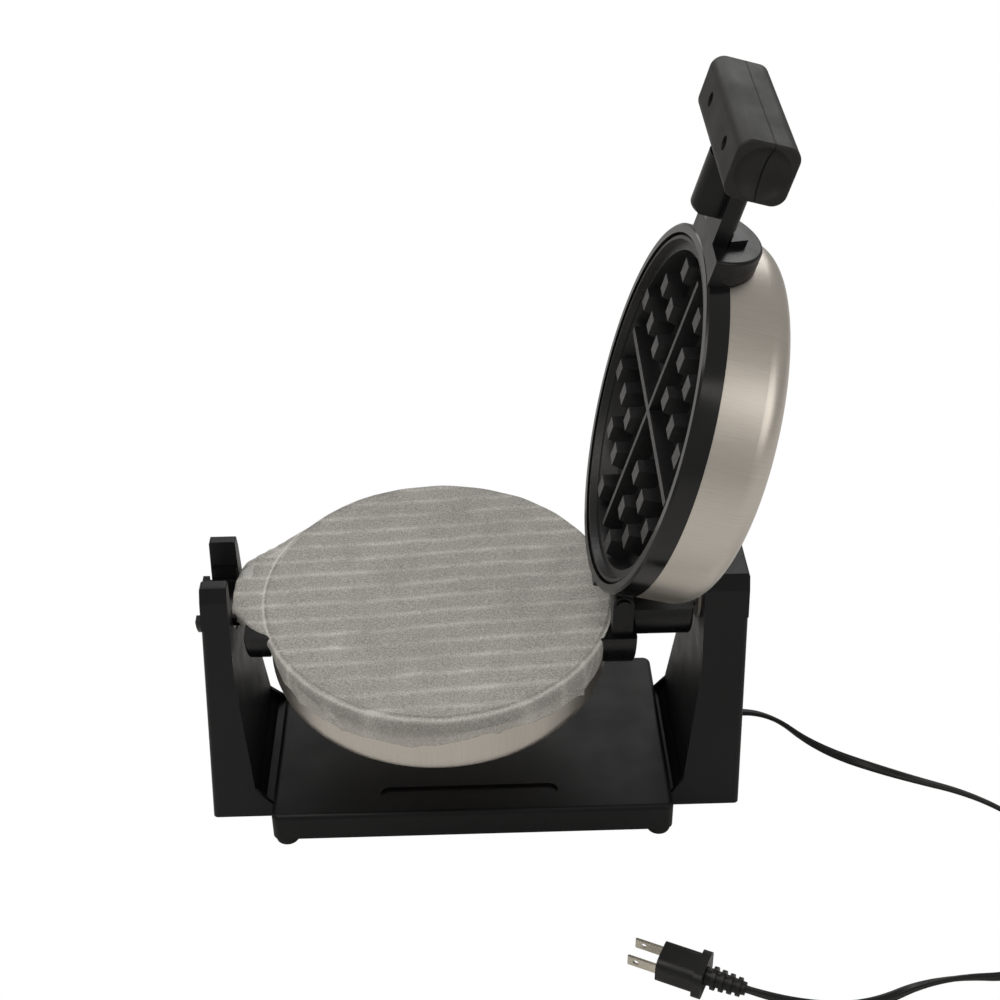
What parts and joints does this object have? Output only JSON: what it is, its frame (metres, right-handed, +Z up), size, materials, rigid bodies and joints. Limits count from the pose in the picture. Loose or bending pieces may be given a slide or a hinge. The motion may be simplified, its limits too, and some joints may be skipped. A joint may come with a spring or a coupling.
{
  "type": "rotary belgian waffle maker",
  "caption": "Countertop rotary waffle maker: round hinged cooking head turning on a two-tower stand, with lid grip and mains cord.",
  "frame": {"origin": "middle of the object's box seen from above, without the lead, on the plane its feet rest on", "axes": "+X to the hinge side along the head's turning axis, +Y away from the viewer, +Z up"},
  "size_m": [0.5108, 0.3142, 0.4477],
  "materials": {
    "black_plastic": "satin gloss moulded plastic",
    "gloss_black": "glossy moulded ring",
    "matte_black": "finely textured moulded plastic",
    "steel_shell": "brushed stainless steel, brushed round the drum",
    "nonstick_grid": "cast cooking plate with black non-stick coating",
    "plain_steel": "plain steel",
    "sheet_metal": "bright sheet metal",
    "zinc_steel": "zinc plated steel",
    "foot_rubber": "soft rubber",
    "cord_vinyl": "smooth vinyl",
    "blade_metal": "plated brass",
    "bush_polymer": "plain bearing polymer",
    "packing_film": "thin translucent foam film, ribbed, bare of print"
  },
  "bodies": {
    "stand": {"base_tray": "black_plastic", "left_tower": "black_plastic", "left_upper_cover": "black_plastic", "left_saddle_cap": "black_plastic", "left_saddle_liner": "black_plastic", "left_tower_floor": "black_plastic", "right_tower": "black_plastic", "right_tower_cap": "black_plastic", "right_tower_floor": "black_plastic", "base_cover": "black_plastic", "feet": "foot_rubber", "base_screws": "zinc_steel", "trunnion_bush": "bush_polymer", "strain_relief": "cord_vinyl", "terminal_block": "bush_polymer", "power_cord": "cord_vinyl", "plug_body": "cord_vinyl", "plug_blades": "blade_metal"},
    "cooking_head": {"lower_rim": "gloss_black", "lower_shell": "steel_shell", "lower_grid": "nonstick_grid", "lower_element": "plain_steel", "lower_reflector": "sheet_metal", "lower_mount_plate": "sheet_metal", "lower_grid_screws": "zinc_steel", "lower_thermostat": "zinc_steel", "lower_half_shaft": "black_plastic", "hinge_bracket": "black_plastic", "hinge_pin": "plain_steel", "trunnion_shaft": "plain_steel", "trunnion_retainer": "plain_steel", "protective_film": "packing_film"},
    "lid": {"upper_rim": "gloss_black", "upper_shell": "steel_shell", "upper_grid": "nonstick_grid", "upper_element": "plain_steel", "upper_reflector": "sheet_metal", "upper_mount_plate": "sheet_metal", "upper_grid_screws": "zinc_steel", "upper_thermal_fuse": "zinc_steel", "upper_half_shaft": "matte_black", "latch_tongue": "matte_black", "grip_inner_half": "matte_black", "grip_outer_half": "matte_black", "grip_screws": "zinc_steel"}
  },
  "joints": [
    {"name": "head_turn", "type": "hinge", "parent": "stand", "child": "cooking_head", "pos_m": [-0.00748, 0.00408, 0.134], "axis": [1, 0, 0], "range_deg": [-80, 70]},
    {"name": "lid_hinge", "type": "hinge", "parent": "cooking_head", "child": "lid", "pos_m": [0.08102, 0.00216, 0.15592], "axis": [0, 0.9962, 0.0872], "range_deg": [-105.5, 0]}
  ]
}
